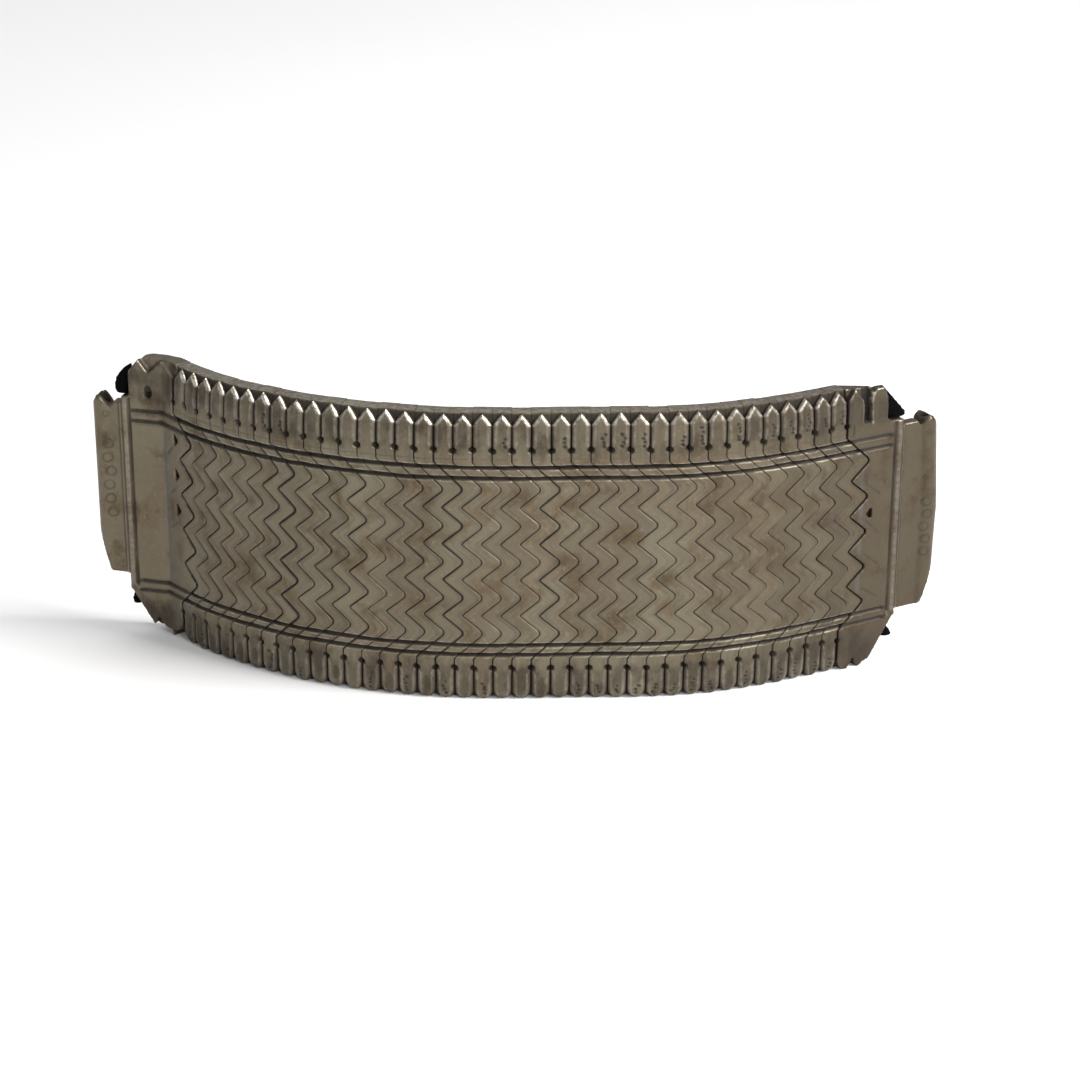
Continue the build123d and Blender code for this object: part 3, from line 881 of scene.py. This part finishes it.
    # Joint walls of the soldered link and the gaps between its tips and feet: dirt and painted shade.
    joint = end["joint"] + joint_offset(z)
    on_wall = (np.abs(link_along - joint) < 0.3) & (link_depth > 0.12)
    dirt_and_shade = np.maximum(dirt_and_shade, on_wall * 0.95)
    gap = ((z > 33.6) | (z < 3.4)) & (recess < 1.25) & (facing < 0.6)
    dirt_and_shade = np.maximum(dirt_and_shade, gap * smooth_step(recess, 0.3, 0.6) * 0.9)
    off_bore = np.hypot(along - (tube_start + tube_stop) / 2, depth - TUBE_CENTRE_DEPTH)
    mouth = smooth_step(z, 30.9, 31.4) * on_tube * (1 - smooth_step(off_bore, 1.05, 1.3))
    dirt_and_shade = np.maximum(dirt_and_shade, 0.85 * mouth)
    # Worn bright edges, strongest towards the tips as a painted highlight.
    wear_and_highlight = smooth_step(-hollow, 0.05, 0.18) * (1 - socket) * (0.35 + 0.65 * smooth_step(z, 35.5, 36.5))
    wear_and_highlight = np.maximum(wear_and_highlight, within * bead * 0.2 * facing)
    wear_and_highlight *= (1 - smooth_step(ledge, 0.0, 0.1)) * (1 - mouth)
    solder_start, solder_stop = end["solder"]
    solder = plateau(along, solder_start - 0.3, solder_start + 0.3, solder_stop - 0.2, solder_stop + 0.3)
    solder *= plateau(z, 7.8, 8.4, 28.6, 29.2) * facing

    mesh.vertices.foreach_set("co", (place * MM).ravel())
    values = {"dirt_and_shade": dirt_and_shade, "wear_and_highlight": wear_and_highlight, "tone_and_shade": np.full(count, end["tone_and_shade"])}
    write_attributes(mesh, {**values, "solder": solder, "grime": rim_grime(z)})
    mesh.name = name + "_worn"
    mesh.materials.clear()
    mesh.materials.append(material)
    made = bpy.data.objects.new(name + "_worn", mesh)
    bpy.context.scene.collection.objects.link(made)
    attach(made, "root")
    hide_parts(name)


def swept_faces(count, sides, start):
    """Faces of a closed tube through a count of equal rings, numbered from a first vertex."""
    faces = []
    for i in range(count - 1):
        for j in range(sides):
            a = start + i * sides + j
            b = start + i * sides + (j + 1) % sides
            faces.append((a, b, b + sides, a + sides))
    faces.append(tuple(start + j for j in range(sides))[::-1])
    faces.append(tuple(start + (count - 1) * sides + j for j in range(sides)))
    return faces


def thread_rings(points, row):
    """Rings of the twisted thread along its holes."""
    z = THREAD_ROWS[row]
    first = FIRST_JOINT - 1
    last = FIRST_JOINT + LINK_COUNT + 1
    route = []
    for end in ENDS.values():
        side = end["side"]
        corner = points[first] if side < 0 else points[last]
        edge, _, _, width = end["knots"][row]
        ends = [step(corner, end["heading"], side * x) for x in (edge + width * 0.3, edge / 2)]
        ends = [step(point, end["heading"] + 90, THREAD_DEPTH) for point in ends]
        if side < 0:
            route += ends
            for number in range(first, last + 1):
                before = heading_at(number - 0.5) if number > first else end["heading"]
                after = heading_at(number + 0.5) if number < last else ENDS["terminal_right"]["heading"]
                route.append(step(points[number], (before + after) / 2 + 90, THREAD_DEPTH))
        else:
            route += ends[::-1]
    route = np.array(route)
    spans = np.hypot(*np.diff(route, axis=0).T)
    lengths = np.concatenate([[0], np.cumsum(spans)])
    stations = np.linspace(0, lengths[-1], int(lengths[-1] / THREAD_STEP))
    x = np.interp(stations, lengths, route[:, 0])
    y = np.interp(stations, lengths, route[:, 1])
    heading = np.unwrap(np.arctan2(np.gradient(y), np.gradient(x)))
    turn = np.linspace(0, 2 * math.pi, THREAD_SIDES, endpoint=False)
    twist = stations[:, None] * THREAD_TWIST
    radius = THREAD_RADIUS * (0.82 + 0.18 * np.abs(np.cos(turn[None, :] + twist)))
    sideways = radius * np.cos(turn)
    rise = radius * np.sin(turn)
    x = x[:, None] - np.sin(heading)[:, None] * sideways
    y = y[:, None] + np.cos(heading)[:, None] * sideways
    return np.stack([x, y, z + rise], -1)


def knot_rings(name, points, row):
    """Rings of the wound knot beyond an end piece, from its low end to its high end."""
    end = ENDS[name]
    side = end["side"]
    _, corner = end_joint(name, points)
    edge, low, high, width = end["knots"][row]
    rise, swell = zip(*end["knot_shape"])
    t = np.linspace(0, 1, KNOT_RINGS)
    radius = width / 2 * np.interp(t, rise, swell)
    turn = np.linspace(0, 2 * math.pi, KNOT_SIDES, endpoint=False)
    height = low + (high - low) * t
    wound = 1 + 0.03 * np.cos(height[:, None] * 9.0 + turn[None, :])
    wound += 0.02 * ripple(height[:, None] * 2.0, turn[None, :], 8)
    flatness = min(1.0, KNOT_MAX_DEPTH / width)
    out = edge + radius[:, None] * (1 + np.cos(turn)[None, :] * wound)
    out = np.maximum(out, edge)
    back = KNOT_DEPTH + radius[:, None] * np.sin(turn)[None, :] * wound * flatness
    angle = math.radians(end["heading"])
    x = corner[0] + side * out * math.cos(angle) - back * math.sin(angle)
    y = corner[1] + side * out * math.sin(angle) + back * math.cos(angle)
    return np.stack([x, y, np.repeat(height[:, None], KNOT_SIDES, 1)], -1)


def make_thread(row, points, shift, material):
    """One twisted thread through every hole, with a wound knot at each end."""
    vertices = []
    faces = []
    start = 0
    for rings in [thread_rings(points, row)] + [knot_rings(name, points, row) for name in ENDS]:
        count, sides, _ = rings.shape
        vertices.append(rings.reshape(-1, 3))
        faces += swept_faces(count, sides, start)
        start += count * sides
    vertices = np.concatenate(vertices)
    vertices[:, :2] -= shift
    blank = np.zeros(len(vertices))
    thing = make_mesh(row + "_wound", vertices, faces, blank, blank, blank, THREAD_SMOOTH_ANGLE)
    thing.data.materials.append(material)
    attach(thing, "root")
    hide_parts(row)


def clean_normals(thing):
    mesh = bmesh.new()
    mesh.from_mesh(thing.data)
    bmesh.ops.recalc_face_normals(mesh, faces=mesh.faces)
    mesh.to_mesh(thing.data)
    mesh.free()


# Materials


def new_material(name):
    """A material with its node tree, its shader and the place on the object."""
    material = bpy.data.materials.new(name)
    material.use_nodes = True
    tree = material.node_tree
    shader = tree.nodes["Principled BSDF"]
    place = tree.nodes.new("ShaderNodeTexCoord").outputs["Object"]
    return material, tree, shader, place


def add_bump(tree, shader, height, strength, distance):
    bump = tree.nodes.new("ShaderNodeBump")
    bump.inputs["Strength"].default_value = strength
    bump.inputs["Distance"].default_value = distance
    tree.links.new(height, bump.inputs["Height"])
    tree.links.new(bump.outputs["Normal"], shader.inputs["Normal"])


def attribute(tree, name):
    made = tree.nodes.new("ShaderNodeAttribute")
    made.attribute_name = name
    return made.outputs["Fac"]


def noise(tree, place, scale, detail=4.0, roughness=0.55):
    made = tree.nodes.new("ShaderNodeTexNoise")
    made.inputs["Scale"].default_value = scale
    made.inputs["Detail"].default_value = detail
    made.inputs["Roughness"].default_value = roughness
    tree.links.new(place, made.inputs["Vector"])
    return made.outputs["Fac"]


def stretched(tree, place, scale):
    made = tree.nodes.new("ShaderNodeMapping")
    made.inputs["Scale"].default_value = scale
    tree.links.new(place, made.inputs["Vector"])
    return made.outputs["Vector"]


def between(tree, value, low, high, out_low=0.0, out_high=1.0):
    made = tree.nodes.new("ShaderNodeMapRange")
    for name, number in (("From Min", low), ("From Max", high), ("To Min", out_low), ("To Max", out_high)):
        made.inputs[name].default_value = number
    tree.links.new(value, made.inputs["Value"])
    return made.outputs["Result"]


def maths(tree, operation, a, b):
    made = tree.nodes.new("ShaderNodeMath")
    made.operation = operation
    for slot, value in zip(made.inputs, (a, b)):
        if isinstance(value, (int, float)):
            slot.default_value = value
        else:
            tree.links.new(value, slot)
    return made.outputs["Value"]


def blend_colour(tree, share, a, b):
    made = tree.nodes.new("ShaderNodeMix")
    made.data_type = "RGBA"
    tree.links.new(share, made.inputs["Factor"])
    for slot, value in (("A", a), ("B", b)):
        socket = next(s for s in made.inputs if s.name == slot and s.type == "RGBA")
        if isinstance(value, tuple):
            socket.default_value = (*value, 1.0)
        else:
            tree.links.new(value, socket)
    return next(s for s in made.outputs if s.type == "RGBA")


def aged_silver(name):
    """Old silver: warm grey film, near black in the cuts and where shade is painted, bare on worn edges and
    painted highlights.
    """
    material, tree, shader, place = new_material(name)
    cloud = noise(tree, place, 90.0, 5.0)
    patch = noise(tree, place, 260.0, 5.0, 0.6)
    grain = noise(tree, place, 1500.0, 4.0, 0.65)
    speck = noise(tree, place, 4200.0, 3.0, 0.7)
    dirt_and_shade = attribute(tree, "dirt_and_shade")
    wear_and_highlight = attribute(tree, "wear_and_highlight")
    tone_and_shade = attribute(tree, "tone_and_shade")

    streak = noise(tree, stretched(tree, place, (1.0, 1.0, 0.35)), 700.0, 4.0, 0.6)
    film = blend_colour(tree, between(tree, cloud, 0.35, 0.65), *FILM_COLOURS)
    film = blend_colour(tree, between(tree, patch, 0.5, 0.7), film, BROWN_FILM)
    film = blend_colour(tree, between(tree, grain, 0.55, 0.75), film, PALE_FILM)
    # Darker where the tone is low: painted shade towards the band's ends, and the silver's own tone.
    film = blend_colour(tree, between(tree, tone_and_shade, -1.5, 1.0, 0.8, 0.0), film, DARK_TONE_AND_SHADE)
    solder = attribute(tree, "solder")
    film = blend_colour(tree, maths(tree, "MULTIPLY", solder, 0.4), film, SOLDER_FILM)
    rub_and_highlight = maths(tree, "MULTIPLY", wear_and_highlight, between(tree, grain, 0.35, 0.6))
    grime = attribute(tree, "grime")
    film = blend_colour(tree, maths(tree, "MULTIPLY", grime, 0.22), film, GRIME_COLOUR)
    # Bare silver on worn edges, also used as a painted highlight on the tip gables.
    film = blend_colour(tree, maths(tree, "MULTIPLY", rub_and_highlight, 0.75), film, BARE_SILVER_AND_HIGHLIGHT)
    blot = maths(tree, "ADD", maths(tree, "MULTIPLY", patch, 0.6), maths(tree, "MULTIPLY", streak, 0.4))
    blot = maths(tree, "ADD", blot, maths(tree, "MULTIPLY", grime, 0.17))
    blot = maths(tree, "MULTIPLY", between(tree, blot, 0.56, 0.72), 0.62)
    blot = maths(tree, "MULTIPLY", blot, between(tree, wear_and_highlight, 0.0, 0.5, 1.0, 0.2))
    # Dirt and painted shade darken the colour towards near black.
    stain_and_shade = maths(tree, "MULTIPLY", dirt_and_shade, between(tree, patch, 0.3, 0.6, 0.85, 1.0))
    stain_and_shade = maths(tree, "MAXIMUM", stain_and_shade, blot)
    colour = blend_colour(tree, stain_and_shade, film, DIRT_AND_SHADE_COLOUR)
    tree.links.new(colour, shader.inputs["Base Color"])

    metal = between(tree, stain_and_shade, 0.0, 1.0, 0.9, 0.25)
    tree.links.new(metal, shader.inputs["Metallic"])
    rough = between(tree, grain, 0.3, 0.7, 0.34, 0.5)
    rough = maths(tree, "ADD", rough, maths(tree, "MULTIPLY", stain_and_shade, 0.3))
    rough = maths(tree, "SUBTRACT", rough, maths(tree, "MULTIPLY", rub_and_highlight, 0.12))
    tree.links.new(rough, shader.inputs["Roughness"])

    height = maths(tree, "ADD", maths(tree, "MULTIPLY", grain, 0.6), maths(tree, "MULTIPLY", speck, 0.25))
    add_bump(tree, shader, height, 0.35, 0.00008)
    return material


def black_thread(name):
    material, tree, shader, place = new_material(name)
    fibre = noise(tree, place, 2600.0, 3.0, 0.7)
    colour = blend_colour(tree, between(tree, fibre, 0.4, 0.7), *THREAD_COLOURS)
    tree.links.new(colour, shader.inputs["Base Color"])
    shader.inputs["Roughness"].default_value = 1.0
    shader.inputs["Specular IOR Level"].default_value = 0.05
    add_bump(tree, shader, fibre, 0.5, 0.0001)
    return material


def pale_floor(name):
    material, tree, shader, place = new_material(name)
    mottle = noise(tree, place, 6.0, 3.0)
    colour = blend_colour(tree, mottle, *FLOOR_COLOURS)
    tree.links.new(colour, shader.inputs["Base Color"])
    shader.inputs["Roughness"].default_value = 0.85
    return material


# Stage


def area_light(name, place, target, size, power, colour=(1.0, 1.0, 1.0)):
    data = bpy.data.lights.new(name, "AREA")
    data.shape = "RECTANGLE"
    data.size, data.size_y = size
    data.energy = power
    data.color = colour
    light = bpy.data.objects.new(name, data)
    light.location = place
    light.rotation_euler = (Vector(target) - Vector(place)).to_track_quat("-Z", "Y").to_euler()
    bpy.context.scene.collection.objects.link(light)


def make_stage():
    mesh = bmesh.new()
    bmesh.ops.create_grid(mesh, x_segments=8, y_segments=8, size=3.0)
    data = bpy.data.meshes.new("floor")
    mesh.to_mesh(data)
    mesh.free()
    floor = bpy.data.objects.new("floor", data)
    bpy.context.scene.collection.objects.link(floor)
    floor.data.materials.append(pale_floor("floor_paint"))

    area_light("key", (0.46, -0.13, 0.48), (0.0, 0.0, 0.01), (0.3, 0.3), 6.2, (1.0, 0.985, 0.96))
    area_light("front", (0.3, -0.6, 0.42), (0.0, 0.0, 0.02), (0.4, 0.4), 2.4, (1.0, 0.99, 0.97))
    area_light("fill", (-0.5, -0.5, 0.4), (0.0, 0.0, 0.02), (0.5, 0.4), 0.6)
    area_light("back", (0.0, 0.75, 0.9), (0.0, 0.7, 0.0), (1.3, 0.5), 3.6)

    world = bpy.data.worlds.new("studio")
    bpy.context.scene.world = world
    world.use_nodes = True
    background = world.node_tree.nodes["Background"]
    background.inputs["Color"].default_value = (0.95, 0.97, 1.0, 1.0)
    background.inputs["Strength"].default_value = 0.35
    bpy.context.scene.view_settings.view_transform = "Standard"


def make_camera():
    data = bpy.data.cameras.new("camera")
    data.lens = CAMERA_LENS
    data.sensor_width = SENSOR
    data.clip_start = 0.01
    data.clip_end = 20.0
    camera = bpy.data.objects.new("camera", data)
    camera.location = CAMERA_PLACE
    camera.rotation_euler = [math.radians(angle) for angle in CAMERA_TURN]
    bpy.context.scene.collection.objects.link(camera)
    bpy.context.scene.camera = camera


def main():
    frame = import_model()
    make_stage()
    make_camera()

    silver = aged_silver("aged_silver")
    thread = black_thread("black_thread")
    points = joint_points()
    shift = np.array(PLAN_SHIFT)
    for k in range(LINK_COUNT):
        make_link(FIRST_JOINT + k, points, shift, silver)
    for name in ENDS:
        worn_end(name, frame["nodes"][name], points, shift, silver)
    for row in THREAD_ROWS:
        make_thread(row, points, shift, thread)


main()
